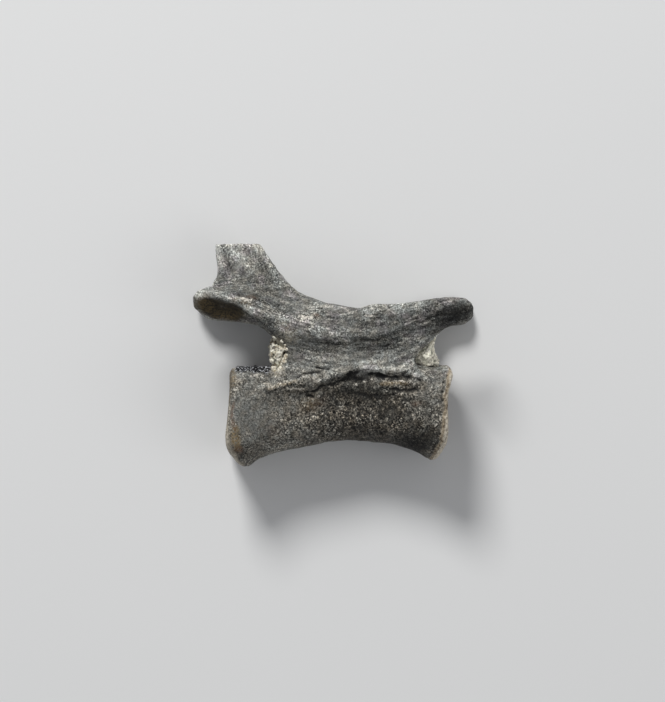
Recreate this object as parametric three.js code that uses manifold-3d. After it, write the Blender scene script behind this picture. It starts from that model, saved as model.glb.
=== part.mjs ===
// Fossil vertebra of an early synapsid at life size, in millimetres, lying on its left side.
// +X runs forward along the bone, +Y is dorsal, and +Z is the bone's right side, which faces up.
// The bone is one smooth field, below zero inside it and above zero outside, and about the distance
// to its surface in between. Heights are counted from the floor of the neural canal, lengths from the
// middle of the centrum and widths from the midline. The group then moves all of it onto the ground.
import * as THREE from "three";
import { mergeVertices } from "three/addons/utils/BufferGeometryUtils.js";
import Module from "manifold-3d";

const wasm = await Module();
wasm.setup();

const boneCell = 0.305; // spacing of the bone's surface points
const matrixCell = 0.24;
const matrixGap = 0.1; // clearance between the bone and the sediment in its canal
const groundZ = -2.3; // the left side's resting flats lie on this level
const fillet = { broad: 0.6, middle: 0.5, fine: 0.3 }; // where one form runs into another

// Curves, each a short list of [position, value] stops.
const rearFace = profile([
  [-5.0, -4.98], [-4.6, -5.36], [-4.25, -5.62], [-3.8, -5.74], [-2.9, -5.72], [-1.9, -5.62], [-1.1, -5.54],
  [-0.4, -5.56], [0.1, -5.45],
]); // length of the centrum's rear face at each height, bevelled below for the intercentrum
const foreFace = profile([
  [-4.8, 4.75], [-4.2, 5.12], [-3.7, 5.36], [-1.6, 5.44], [-0.4, 5.66], [0.1, 5.52],
]);
const keel = profile([
  [-5.2, -5.12], [-4.65, -5.04], [-4.15, -4.68], [-3.15, -4.27], [-1.65, -4.02], [-0.5, -3.8], [0.5, -3.7],
  [2.2, -3.85], [3.45, -4.15], [4.05, -4.42], [4.5, -4.68], [5.2, -4.75],
]); // the centrum's lower edge along its length
const crest = profile([
  [-4.5, 6.8], [-4.05, 6.16], [-3.6, 5.54], [-3.0, 4.65], [-2.45, 4.04], [-1.95, 3.64], [-1.35, 3.3],
  [-0.75, 3.05], [-0.15, 2.94], [0.6, 2.78], [1.5, 2.65], [2.6, 2.2], [3.4, 1.6],
]); // the upper edge of the arch and the front edge of the spine, on the midline
const spineRear = profile([
  [2.4, -5.6], [3.6, -6.2], [4.1, -6.34], [4.4, -6.2], [4.9, -6.12], [5.6, -6.26], [6.3, -6.34],
]); // the rear edge of the spine at each height
const spineHalf = profile([
  [2.2, 1.3], [2.9, 1.1], [3.4, 0.82], [4.0, 0.56], [4.8, 0.43], [6.3, 0.37],
]); // half the spine's thickness at each height
const pedicelRear = profile([
  [-0.8, -3.5], [0, -3.12], [0.6, -2.82], [1.1, -3.02], [1.5, -3.25], [1.9, -3.6], [2.3, -4.3],
]);
const pedicelFore = profile([
  [-0.8, 4.6], [-0.1, 4.1], [0.2, 3.82], [0.5, 3.82], [0.85, 4.06], [1.2, 4.36], [1.5, 4.66], [1.8, 4.96],
]);
const archHalf = profile([
  [-1.2, 1.3], [-0.6, 1.62], [-0.1, 1.7], [0.5, 1.48], [1.0, 1.44], [1.55, 1.72], [2.0, 1.7], [2.4, 1.4],
  [2.9, 0.8], [3.4, 0.4],
]); // half the arch's width at each height: waisted pedicels under a wider roof
const archSplay = { x: 0.5, length: 4.2, out: 0.16 }; // the arch widens towards its processes
const archEnds = { top: 3.1, bottom: -1.2 };

const centrum = { top: 0.12, half: 5.5, endHalf: 2.4, midHalf: 1.55, flare: 2.4, squareness: 2.3, rim: 0.34 };
const fossa = { x: 0.4, y: -1.85, z: 2.5, rx: 3.9, ry: 1.0, rz: 1.12 }; // hollow in each flank
const cup = { y: -2.35, ry: 1.95, rz: 1.86, depth: 1.5, fillet: 0.3 }; // hollow in each end face
const canal = { y: 0.72, ry: 0.8, rz: 0.85, flare: 0.05, flareFrom: 3, mouth: 0.2 };
const spineTop = { y: 6.12, dip: 0.07, x: -5.1, half: 1.05, fillet: 0.2 }; // the spine ends in a break
const spineFoot = 2.6;
const bend = { out: 0.05, pitch: 0.8, ripple: 0.025 }; // slight sideways bend and unevenness of the whole

const prezygapophysis = {
  top: profile([
    [0.4, 2.7], [1.0, 2.92], [1.65, 3.12], [2.5, 3.14], [3.45, 3.26], [4.65, 3.38], [5.4, 3.5], [6.1, 3.5],
  ]),
  bottom: profile([
    [0.4, 1.5], [3.4, 1.3], [4.4, 1.5], [4.95, 1.74], [5.45, 1.94], [5.95, 2.06], [6.6, 2.08],
  ]),
  out: profile([[0.4, 1.1], [2, 1.35], [3.5, 1.6], [5, 1.74], [6.6, 1.76]]),
  half: profile([[0.4, 0.55], [3, 0.5], [5, 0.46], [6.6, 0.4]]),
  lean: 0.5,
  root: { x: 1.2, length: 1.0 },
  tip: { x: 6.08, length: 0.6 },
};
const postzygapophysis = {
  top: profile([[-6.9, 3.9], [-6.4, 3.92], [-5.5, 3.55], [-4.5, 3.1], [-3.5, 2.7], [-2.2, 2.4]]),
  bottom: profile([
    [-6.9, 2.44], [-6.15, 2.26], [-5.55, 2.2], [-4.9, 2.16], [-4.35, 2.1], [-3.75, 1.84], [-3.0, 1.25],
    [-2.2, 1.1],
  ]),
  out: profile([[-6.9, 1.56], [-5.5, 1.5], [-4.2, 1.4], [-2.2, 1.15]]),
  half: profile([[-6.9, 0.46], [-5.5, 0.52], [-2.2, 0.5]]),
  lean: 0.62,
  root: { x: -2.6, length: 1.0 },
  tip: { x: -6.64, length: 0.74 },
};
const facet = { x: -5.95, y: 2.82, z: 2.02, rx: 1.35, ry: 0.58, rz: 0.45, slope: -0.12, fillet: 0.2 };
const spineLamina = { // slopes from the spine's foot out to the top of the postzygapophysis
  top: profile([[-6.7, 3.8], [-6.2, 4.05], [-5.4, 4.4], [-4.4, 4.1], [-3.4, 3.5], [-2.4, 3.0]]),
  bottom: profile([[-6.7, 3.45], [-5.5, 3.1], [-4.5, 2.7], [-3.4, 2.3], [-2.4, 2.0]]),
  out: profile([[-6.7, 1.2], [-5.5, 1.15], [-4.4, 1.05], [-2.4, 0.9]]),
  half: profile([[-6.7, 0.4], [-5.5, 0.5], [-2.4, 0.5]]),
  lean: -0.9,
  root: { x: -2.6, length: 1.2 },
  tip: { x: -5.9, length: 0.6 },
};

// Ridges along each flank: where the pedicel overhangs the centrum, and under the roof of the arch.
const sutureRidge = {
  height: profile([
    [-4.3, -1.2], [-3.0, -0.9], [-2.0, -0.66], [-1.0, -0.5], [0, -0.28], [1.5, -0.2], [3.0, -0.36],
    [4.3, -0.75],
  ]),
  out: profile([[-4.3, 1.98], [-3.0, 1.72], [0, 1.6], [3.0, 1.7], [4.3, 1.98]]),
  radius: profile([[-4.4, 0.14], [-2.5, 0.24], [0, 0.27], [2.5, 0.24], [4.4, 0.14]]),
  rear: -4.1,
  fore: 4.1,
};
const seam = { // the open seam under that ridge, between the arch and the centrum
  height: profile([
    [-4.25, -1.3], [-2.95, -1.42], [-2.0, -1.28], [-1.1, -0.98], [-0.4, -0.74], [0.6, -0.52], [1.5, -0.44],
    [2.8, -0.5], [4.2, -0.66],
  ]),
  half: profile([[-4.25, 0.2], [-1.9, 0.22], [-0.6, 0.26], [0.6, 0.32], [2.2, 0.3], [4.2, 0.2]]),
  depth: profile([[-4.4, 0], [-3.4, 0.08], [-1.9, 0.1], [-0.8, 0.15], [0.6, 0.18], [2.6, 0.17], [4.2, 0]]),
  from: 0.9, // only the flanks have it, not what lies nearer to the midline
};
const laminaRidge = {
  height: profile([[-4.6, 2.8], [-2.8, 2.16], [-1.0, 1.82], [1.0, 1.74], [3.0, 1.94], [4.8, 2.32]]),
  out: profile([[-4.6, 1.74], [-2.8, 1.62], [0, 1.6], [3.0, 1.7], [4.8, 1.86]]),
  radius: profile([[-4.6, 0.16], [-2, 0.24], [2, 0.24], [4.8, 0.16]]),
  rear: -4.3,
  fore: 4.5,
};

// The sediment that fills the canal, with a rough broken end at each mouth and a spill behind the arch.
const matrix = { rearX: -3.45, foreX: 4.8, rough: 0.08, grow: 0.1, rearSlope: 0.25, foreSlope: -0.15 };
const matrixSpill = { x: -3.0, y: 0.45, z: 0.3, rx: 0.75, ry: 1.15, rz: 1.25 };

// The space that each surface is looked for in.
const boneSpace = { low: [-7.9, -5.5, -2.8], high: [7.2, 6.7, 2.8] };
const matrixSpace = { low: [-4.6, -1, -1.9], high: [5.6, 2.2, 1.9] };

// A cell's corners, and the corners of its faces in order.
const cubeCorners = [0, 1, 2, 3, 4, 5, 6, 7].map((c) => [c & 1, (c >> 1) & 1, c >> 2]);
const cubeFaces = [[0, 1, 3, 2], [4, 5, 7, 6], [0, 1, 5, 4], [2, 3, 7, 6], [0, 2, 6, 4], [1, 3, 7, 5]];
const axes = [0, 1, 2];

// A smooth curve through stops of [position, value], carried on level beyond both ends.
function profile(stops) {
  const slope = (i) => {
    const before = stops[Math.max(i - 1, 0)];
    const after = stops[Math.min(i + 1, stops.length - 1)];
    return (after[1] - before[1]) / (after[0] - before[0]);
  };
  return (at) => {
    if (at <= stops[0][0]) return stops[0][1];
    if (at >= stops.at(-1)[0]) return stops.at(-1)[1];
    const i = stops.findIndex((stop) => stop[0] > at) - 1;
    const span = stops[i + 1][0] - stops[i][0];
    const t = (at - stops[i][0]) / span;
    const ease = t * t * (3 - 2 * t);
    const leave = t * (1 - t) * (1 - t) * span * slope(i);
    const arrive = t * t * (t - 1) * span * slope(i + 1);
    return stops[i][1] * (1 - ease) + stops[i + 1][1] * ease + leave + arrive;
  };
}

// Ways to put two fields together, with a fillet of about the given size.
function fuse(a, b, size) {
  const near = Math.max(size - Math.abs(a - b), 0) / size;
  return Math.min(a, b) - (near * near * size) / 4;
}
const limit = (a, b, size) => -fuse(-a, -b, size);
const carve = (a, b, size) => limit(a, -b, size);

function ellipsoid(x, y, z, size) {
  return (Math.hypot(x / size.rx, y / size.ry, z / size.rz) - 1) * Math.min(size.rx, size.ry, size.rz);
}

function centrumField(x, y, side) {
  const low = keel(x);
  const halfHeight = (centrum.top - low) / 2;
  const along = Math.min(Math.abs(x) / centrum.half, 1.05);
  const halfWidth = centrum.midHalf + (centrum.endHalf - centrum.midHalf) * along ** centrum.flare;
  const n = centrum.squareness;
  const rise = Math.abs((y - (centrum.top + low) / 2) / halfHeight);
  const section = ((rise ** n + (side / halfWidth) ** n) ** (1 / n) - 1) * Math.min(halfHeight, halfWidth);
  let solid = carve(section, ellipsoid(x - fossa.x, y - fossa.y, side - fossa.z, fossa), fillet.middle);
  const rearX = rearFace(y);
  const foreX = foreFace(y);
  solid = limit(solid, rearX - x, centrum.rim);
  solid = limit(solid, x - foreX, centrum.rim);
  const hollow = cup.depth * Math.max(1 - Math.hypot((y - cup.y) / cup.ry, side / cup.rz), -0.5);
  solid = carve(solid, x - (rearX + hollow), cup.fillet);
  return carve(solid, foreX - hollow - x, cup.fillet);
}

// Both pedicels and the roof over the canal. An edge that slants is scaled down, to stay about a distance.
function archField(x, y, side) {
  const splay = archSplay.out * ((x - archSplay.x) / archSplay.length) ** 2;
  let solid = limit(side - archHalf(y) - splay, (pedicelRear(y) - x) * 0.8, fillet.middle);
  solid = limit(solid, (x - pedicelFore(y)) * 0.8, fillet.middle);
  solid = limit(solid, (y - crest(x)) * 0.85, fillet.broad);
  solid = limit(solid, y - archEnds.top, fillet.broad);
  return limit(solid, archEnds.bottom - y, fillet.fine);
}

function spineField(x, y, side) {
  const along = (x - spineTop.x) / spineTop.half;
  const broken = spineTop.y + spineTop.dip * (along ** 2 - 0.4) + 0.05 * Math.sin(3 * side);
  let solid = limit(side - spineHalf(y), (y - crest(x)) * 0.72, fillet.middle);
  solid = limit(solid, spineRear(y) - x, fillet.fine);
  solid = limit(solid, y - broken, spineTop.fillet);
  return limit(solid, spineFoot - y, fillet.middle);
}

// A flattened process, given by its edges in side view, that leans out towards its top.
function processField(limb, x, y, side) {
  const top = limb.top(x);
  const bottom = limb.bottom(x);
  const middle = (top + bottom) / 2;
  const tall = (top - bottom) / 2;
  const half = limb.half(x);
  const way = Math.sign(limb.tip.x - limb.root.x);
  const past = Math.max((x - limb.tip.x) * way, 0) / limb.tip.length;
  const before = Math.max((limb.root.x - x) * way, 0) / limb.root.length;
  const out = limb.out(x) + limb.lean * (y - middle);
  return (Math.hypot((y - middle) / tall, (side - out) / half, past, before) - 1) * Math.min(tall, half);
}

function ridgeField(ridge, x, y, side) {
  const past = Math.max(ridge.rear - x, x - ridge.fore, 0);
  return Math.hypot(y - ridge.height(x), side - ridge.out(x), past) - ridge.radius(x);
}

function seamDepth(x, y, side) {
  if (side < seam.from) return 0;
  const near = Math.max(1 - Math.abs(y - seam.height(x)) / seam.half(x), 0);
  return seam.depth(x) * near * near * (3 - 2 * near);
}

function canalField(x, y, side) {
  const flare = 1 + canal.flare * Math.max(Math.abs(x) - canal.flareFrom, 0);
  return (Math.hypot((y - canal.y) / (canal.ry * flare), side / (canal.rz * flare)) - 1) * canal.ry;
}

function boneField(x, y, z) {
  const side = Math.abs(z + bend.out * Math.sin(bend.pitch * x + 1));
  let solid = fuse(centrumField(x, y, side), archField(x, y, side), fillet.middle);
  solid = fuse(solid, ridgeField(sutureRidge, x, y, side), fillet.fine);
  solid = fuse(solid, spineField(x, y, side), fillet.broad);
  solid = fuse(solid, processField(prezygapophysis, x, y, side), fillet.middle);
  solid = fuse(solid, processField(spineLamina, x, y, side), fillet.middle);
  solid = fuse(solid, processField(postzygapophysis, x, y, side), fillet.middle);
  solid = fuse(solid, ridgeField(laminaRidge, x, y, side), fillet.fine);
  const turned = y - facet.y - facet.slope * (x - facet.x);
  const facing = side - facet.z - postzygapophysis.lean * (y - facet.y);
  solid = carve(solid, ellipsoid(x - facet.x, turned, facing, facet), facet.fillet);
  solid = carve(solid, canalField(x, y, side), canal.mouth);
  const ripple = Math.sin(1.7 * x + 0.4 * z) * Math.sin(2.1 * y + 1.3 * z + 0.5);
  return solid + seamDepth(x, y, side) + bend.ripple * ripple;
}

function matrixField(x, y, z) {
  const side = Math.abs(z);
  const rough = matrix.rough * (Math.sin(5.1 * y + 2 * z) + Math.sin(6.3 * z - 1.5 * y));
  const spill = ellipsoid(x - matrixSpill.x, y - matrixSpill.y, side - matrixSpill.z, matrixSpill);
  let solid = fuse(canalField(x, y, side) - matrix.grow, spill, fillet.fine);
  const rearEnd = matrix.rearX + rough + matrix.rearSlope * Math.abs(y - canal.y);
  const foreEnd = matrix.foreX + rough + matrix.foreSlope * (y - canal.y);
  solid = limit(solid, rearEnd - x, fillet.fine / 2);
  solid = limit(solid, x - foreEnd, fillet.fine / 2);
  return limit(solid, matrixGap - boneField(x, y, z), 0.05);
}

// The closed surface where a field is zero. Each grid cell that the surface crosses gets a point for each
// sheet of it, drawn onto the surface, and each grid edge that it crosses gets two triangles.
function surfaceOf(field, { low, high }, cell) {
  const count = axes.map((n) => Math.ceil((high[n] - low[n]) / cell) + 1);
  const at = ([i, j, k]) => (k * count[1] + j) * count[0] + i;
  const nodes = [];
  for (let k = 0; k < count[2]; k++)
    for (let j = 0; j < count[1]; j++)
      for (let i = 0; i < count[0]; i++) nodes.push([i, j, k]);
  const values = nodes.map((node) => field(...node.map((v, n) => low[n] + v * cell)));
  const inner = (node, from, to) => node.every((v, n) => v >= from && v < count[n] - to);

  const points = [];
  const sheetPoint = new Map(); // the point that each crossed edge of each cell belongs to
  for (const base of nodes) {
    if (!inner(base, 0, 1)) continue;
    const value = cubeCorners.map((offset) => values[at(base.map((v, n) => v + offset[n]))]);
    for (const sheet of sheetsIn(value)) {
      const middle = [0, 0, 0];
      for (const [a, axis] of sheet) {
        const b = a | (1 << axis);
        const t = value[a] / (value[a] - value[b]);
        for (const n of axes)
          middle[n] += (cubeCorners[a][n] + t * (cubeCorners[b][n] - cubeCorners[a][n])) / sheet.length;
        sheetPoint.set(at(base) * 24 + a * 3 + axis, points.length);
      }
      points.push(drawnOnto(field, base.map((v, n) => low[n] + (v + middle[n]) * cell), cell));
    }
  }

  const gap = (a, b) => Math.hypot(...axes.map((n) => points[a][n] - points[b][n]));
  const faces = [];
  for (const node of nodes) {
    if (!inner(node, 1, 1)) continue;
    for (const axis of axes) {
      const next = node.map((v, n) => v + (n === axis ? 1 : 0));
      const outward = values[at(node)] < 0;
      if (outward === values[at(next)] < 0) continue;
      const [u, v] = [(axis + 1) % 3, (axis + 2) % 3];
      const ring = [[1, 1], [0, 1], [0, 0], [1, 0]].map(([backU, backV]) => {
        const cellBase = [...node];
        cellBase[u] -= backU;
        cellBase[v] -= backV;
        return sheetPoint.get(at(cellBase) * 24 + ((backU << u) | (backV << v)) * 3 + axis);
      });
      if (!outward) ring.reverse();
      const [a, b, c, d] = ring;
      faces.push(...(gap(a, c) < gap(b, d) ? [a, b, c, a, c, d] : [a, b, d, b, c, d]));
    }
  }
  const even = evened(field, points, faces, cell);
  return solidFrom(new Float32Array(even.flat()), new Uint32Array(faces));
}

// The crossed edges of a cell, as [start corner, axis], grouped by the sheet of surface that they share.
function sheetsIn(value) {
  const sheets = [];
  const sheetOf = (edge) => sheets.find((sheet) => sheet.some((e) => e[0] === edge[0] && e[1] === edge[1]));
  const link = (first, second) => {
    const [one, two] = [sheetOf(first), sheetOf(second)];
    if (one && one === two) return;
    if (one && two) sheets.splice(sheets.indexOf(two), 1);
    const merged = one ?? two ?? [];
    if (!one && !two) sheets.push(merged);
    if (one && two) merged.push(...two);
    if (!one) merged.push(first);
    if (!two) merged.push(second);
  };
  const edge = (a, b) => [a & b, Math.log2(a ^ b)];
  for (const face of cubeFaces)
    face.forEach((corner, i) => {
      const before = face[(i + 3) % 4];
      if (value[corner] >= 0 || value[before] < 0) return;
      let last = i;
      while (value[face[(last + 1) % 4]] < 0) last++;
      link(edge(before, corner), edge(face[last % 4], face[(last + 1) % 4]));
    });
  return sheets;
}

// A point moved along the field's slope onto the surface, by no more than a third of a cell each time.
function drawnOnto(field, start, cell) {
  const tiny = 0.01;
  let point = start;
  for (let n = 0; n < 3; n++) {
    const here = field(...point);
    const slope = axes.map((k) => (field(...point.map((v, m) => v + (m === k ? tiny : 0))) - here) / tiny);
    const steepness = Math.hypot(...slope) || 1;
    const move = THREE.MathUtils.clamp(-here / steepness, -cell / 3, cell / 3);
    point = point.map((v, k) => v + (slope[k] / steepness) * move);
  }
  return point;
}

// The points spaced more evenly: each goes halfway to the middle of its neighbours, then onto the surface.
function evened(field, points, faces, cell) {
  const sums = points.map(() => [0, 0, 0, 0]);
  faces.forEach((a, i) => {
    const next = points[faces[i % 3 === 2 ? i - 2 : i + 1]];
    [...next, 1].forEach((v, n) => (sums[a][n] += v));
  });
  return points.map((point, i) => {
    const halfway = point.map((v, n) => (v + sums[i][n] / sums[i][3]) / 2);
    return drawnOnto(field, halfway, cell);
  });
}

function solidFrom(vertProperties, triVerts) {
  return new wasm.Manifold(new wasm.Mesh({ numProp: 3, vertProperties, triVerts }));
}

// A box as a solid that can be taken away from another, and a solid as a geometry.
function boxSolid(width, depth, height, centreZ) {
  const geometry = new THREE.BoxGeometry(width, depth, height).translate(0, 0, centreZ);
  geometry.deleteAttribute("normal");
  geometry.deleteAttribute("uv");
  const merged = mergeVertices(geometry);
  return solidFrom(merged.attributes.position.array, new Uint32Array(merged.index.array));
}
function geometryOf(solid) {
  const mesh = solid.getMesh();
  const geometry = new THREE.BufferGeometry();
  geometry.setAttribute("position", new THREE.BufferAttribute(mesh.vertProperties, 3));
  geometry.setIndex(new THREE.BufferAttribute(mesh.triVerts, 1));
  geometry.computeVertexNormals();
  return geometry;
}
const largest = (solid) => solid.decompose().sort((a, b) => b.volume() - a.volume())[0];

function named(name, solid, look) {
  const mesh = new THREE.Mesh(geometryOf(solid), new THREE.MeshStandardMaterial({ metalness: 0, ...look }));
  mesh.name = name;
  return mesh;
}

const underground = boxSolid(20, 20, 2, groundZ - 1);
const bone = largest(surfaceOf(boneField, boneSpace, boneCell).subtract(underground));
const sediment = largest(surfaceOf(matrixField, matrixSpace, matrixCell));

// The origin is the middle of the box around the bone, on the ground.
const group = new THREE.Group();
group.add(
  named("vertebra", bone, { name: "fossil_bone", color: 0x4f4d48, roughness: 0.55 }),
  named("canal_matrix", sediment, { name: "sediment", color: 0xb3ac95, roughness: 0.9 }),
);
const box = new THREE.Box3().setFromObject(group);
group.position.set(-(box.min.x + box.max.x) / 2, -(box.min.y + box.max.y) / 2, -groundZ);

export default group;
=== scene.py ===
# Fossil vertebra of an early synapsid, life size, lying on its left side with its right side up.
# +X runs forward along the bone, +Y is dorsal and +Z is the bone's right side. Shapes are worked on
# in millimetres and brought back to metres once they are done.
import bpy
import math
import numpy as np
from itertools import product
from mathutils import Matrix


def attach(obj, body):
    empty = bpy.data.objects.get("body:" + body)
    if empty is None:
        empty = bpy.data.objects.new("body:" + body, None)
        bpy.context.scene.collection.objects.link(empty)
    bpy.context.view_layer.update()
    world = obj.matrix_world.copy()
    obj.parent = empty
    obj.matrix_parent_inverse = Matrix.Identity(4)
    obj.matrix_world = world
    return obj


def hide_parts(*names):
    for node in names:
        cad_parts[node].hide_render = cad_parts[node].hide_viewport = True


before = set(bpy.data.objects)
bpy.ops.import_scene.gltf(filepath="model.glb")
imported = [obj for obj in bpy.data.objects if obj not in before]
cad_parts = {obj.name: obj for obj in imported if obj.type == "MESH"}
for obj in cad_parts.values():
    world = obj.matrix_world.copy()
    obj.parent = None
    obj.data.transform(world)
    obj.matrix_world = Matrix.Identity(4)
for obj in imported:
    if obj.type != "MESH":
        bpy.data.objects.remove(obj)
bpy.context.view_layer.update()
print("frame loaded")

perMetre = 1000.0  # millimetres
midline = 2.3  # height of the bone's midline over the ground


# Tools for pieces

merging = {"gap": 0.001, "angle": math.radians(60)}  # how triangles become quads


def pickOnly(piece):
    bpy.ops.object.select_all(action="DESELECT")
    piece.select_set(True)
    bpy.context.view_layer.objects.active = piece


def resize(piece, factor):
    pickOnly(piece)
    piece.scale = (factor, factor, factor)
    bpy.ops.object.transform_apply(location=False, rotation=False, scale=True)


def finishWith(piece, kind, **settings):
    # adds a modifier and applies it at once
    pickOnly(piece)
    modifier = piece.modifiers.new(kind.lower(), kind)
    for name, value in settings.items():
        setattr(modifier, name, value)
    bpy.ops.object.modifier_apply(modifier=modifier.name)


def copyOfNode(nodeName, pieceName):
    # a copy of a CAD node in millimetres, its loose triangles merged into one skin of quads
    piece = bpy.data.objects.new(pieceName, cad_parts[nodeName].data.copy())
    bpy.context.scene.collection.objects.link(piece)
    piece.data.materials.clear()
    resize(piece, perMetre)
    bpy.ops.object.mode_set(mode="EDIT")
    bpy.ops.mesh.select_all(action="SELECT")
    bpy.ops.mesh.remove_doubles(threshold=merging["gap"])
    bpy.ops.mesh.tris_convert_to_quads(face_threshold=merging["angle"], shape_threshold=merging["angle"])
    bpy.ops.object.mode_set(mode="OBJECT")
    return piece


def numbersOf(piece, what):
    found = np.zeros(len(piece.data.vertices) * 3)
    piece.data.vertices.foreach_get(what, found)
    return found.reshape(-1, 3)


def moveTo(piece, places):
    piece.data.vertices.foreach_set("co", places.ravel())
    piece.data.update()


def paint(piece, name, values):
    # keeps one number for each vertex, for the material to read
    layer = piece.data.attributes.new(name, "FLOAT", "POINT")
    layer.data.foreach_set("value", np.clip(values, 0, 1))


# Tools for marks on a surface

randomTable = {"size": 4096, "strides": (1, 57, 3251), "octaveShift": 17.3}
lineEnds = {"lead": 0.02, "taper": 0.2, "thinnest": 0.35}  # shares of a line's length and width
areaEdge = 0.9  # the outer share of an area over which it fades


def smoothStep(low, high, values):
    part = np.clip((values - low) / (high - low), 0, 1)
    return part * part * (3 - 2 * part)


def lumps(places, size, seed, octaves=1):
    # a smooth random field with lumps about size across, between -1 and 1 and a little beyond
    # where it has finer octaves
    table = np.random.default_rng(seed).uniform(-1, 1, randomTable["size"])
    strides = np.array(randomTable["strides"])[: places.shape[1]]
    total = np.zeros(len(places))
    for octave in range(octaves):
        scaled = places * 2 ** octave / size + randomTable["octaveShift"] * octave
        cell = np.floor(scaled).astype(int)
        part = scaled - cell
        part = part * part * (3 - 2 * part)
        for corner in product((0, 1), repeat=places.shape[1]):
            share = np.prod(np.where(np.array(corner) == 1, part, 1 - part), axis=1)
            total += share * table[((cell + corner) @ strides) % randomTable["size"]] / 2 ** octave
    return total


def traced(path, step=0.04):
    # points every step along a smooth line through the path's own points
    stops = np.array(path, float)
    stops = np.vstack([2 * stops[0] - stops[1], stops, 2 * stops[-1] - stops[-2]])
    line = []
    for a, b, c, d in zip(stops, stops[1:], stops[2:], stops[3:]):
        for t in np.arange(0, 1, step / max(np.linalg.norm(c - b), step)):
            line.append(0.5 * (2 * b + (c - a) * t + (2 * a - 5 * b + 4 * c - d) * t ** 2
                               + (3 * b - a - 3 * c + d) * t ** 3))
    line.append(stops[-2])
    return np.array(line)


def onLine(spots, path, width):
    # 1 along the line, 0 from width away, and thinner towards its two ends
    line = traced(path)
    found = np.zeros(len(spots))
    close = np.all((spots > line.min(0) - width) & (spots < line.max(0) + width), axis=1)
    gaps = np.linalg.norm(spots[close, None, :] - line[None], axis=2)
    along = gaps.argmin(1) / (len(line) - 1)
    lead, taper, thinnest = -lineEnds["lead"], lineEnds["taper"], lineEnds["thinnest"]
    ends = smoothStep(lead, taper, along) * smoothStep(lead, taper, 1 - along)
    reach = width * (thinnest + (1 - thinnest) * ends)
    found[close] = (1 - smoothStep(0, 1, gaps.min(1) / reach)) * ends
    return found


def onPatch(spots, centre, radii, turn=0, edge=1.0):
    # 1 in the middle of an ellipse, 0 at its edge, and soft over the outer share named by edge
    away = spots - np.array(centre)
    c, s = math.cos(math.radians(turn)), math.sin(math.radians(turn))
    along = (away[:, 0] * c + away[:, 1] * s) / radii[0]
    across = (away[:, 1] * c - away[:, 0] * s) / radii[1]
    return 1 - smoothStep(1 - edge, 1, np.hypot(along, across))


def strongest(spots, marks):
    # the greatest share of any mark, which is a line (path, width, strength) or a patch (centre,
    # radii, turn, strength)
    found = np.zeros(len(spots))
    for mark in marks:
        share = onLine(spots, *mark[:2]) if len(mark) == 3 else onPatch(spots, *mark[:3])
        found = np.maximum(found, share * mark[-1])
    return found


# Camera, floor and light

view = {
    "height": 702,  # pixels of the photograph's taller side
    "scale": 0.05,  # millimetres a pixel on the bone
    "centre": (-0.045, 0.22),  # the middle of the frame
    "distance": 300.0, "nearest": 5.0, "sensor": 36,
}
light = {
    "keyFrom": (-80, 215, 185), "keySize": 95, "keyPower": 0.74,
    "fillFrom": (190, -70, 180), "fillSize": 180, "fillPower": 0.10,
    "room": (0.93, 0.95, 1.0), "roomStrength": 0.30,
    "floorSize": 500, "floorColour": (0.74, 0.74, 0.73), "floorRoughness": 0.8,
}


def metres(*lengths):
    return tuple(length / perMetre for length in lengths)


def addCamera():
    data = bpy.data.cameras.new("camera")
    data.sensor_width = view["sensor"]
    data.lens = view["sensor"] * view["distance"] / (view["height"] * view["scale"])
    data.clip_start = view["nearest"] / perMetre
    camera = bpy.data.objects.new("camera", data)
    camera.location = metres(*view["centre"], midline + view["distance"])
    bpy.context.scene.collection.objects.link(camera)
    bpy.context.scene.camera = camera


def addLamp(name, source, size, power):
    bpy.ops.object.light_add(type="AREA", location=metres(*source))
    lamp = bpy.context.object
    lamp.name = name
    lamp.data.shape = "DISK"
    lamp.data.size = size / perMetre
    lamp.data.energy = power
    lamp.rotation_euler = lamp.location.to_track_quat("Z", "Y").to_euler()


def addFloor():
    bpy.ops.object.select_all(action="DESELECT")
    bpy.ops.mesh.primitive_plane_add(size=light["floorSize"] / perMetre)
    floor = bpy.context.object
    floor.name = "floor"
    paper = bpy.data.materials.new("pale_paper")
    paper.use_nodes = True
    shader = paper.node_tree.nodes["Principled BSDF"]
    shader.inputs["Base Color"].default_value = (*light["floorColour"], 1)
    shader.inputs["Roughness"].default_value = light["floorRoughness"]
    floor.data.materials.append(paper)


def addRoom():
    world = bpy.data.worlds.new("studio")
    world.use_nodes = True
    background = world.node_tree.nodes["Background"]
    background.inputs["Color"].default_value = (*light["room"], 1)
    background.inputs["Strength"].default_value = light["roomStrength"]
    bpy.context.scene.world = world
    bpy.context.scene.view_settings.view_transform = "Standard"


addCamera()
addLamp("key", light["keyFrom"], light["keySize"], light["keyPower"])
addLamp("fill", light["fillFrom"], light["fillSize"], light["fillPower"])
addFloor()
addRoom()
print("camera, light and floor set")


# Shader sums, written as plain expressions

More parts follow.
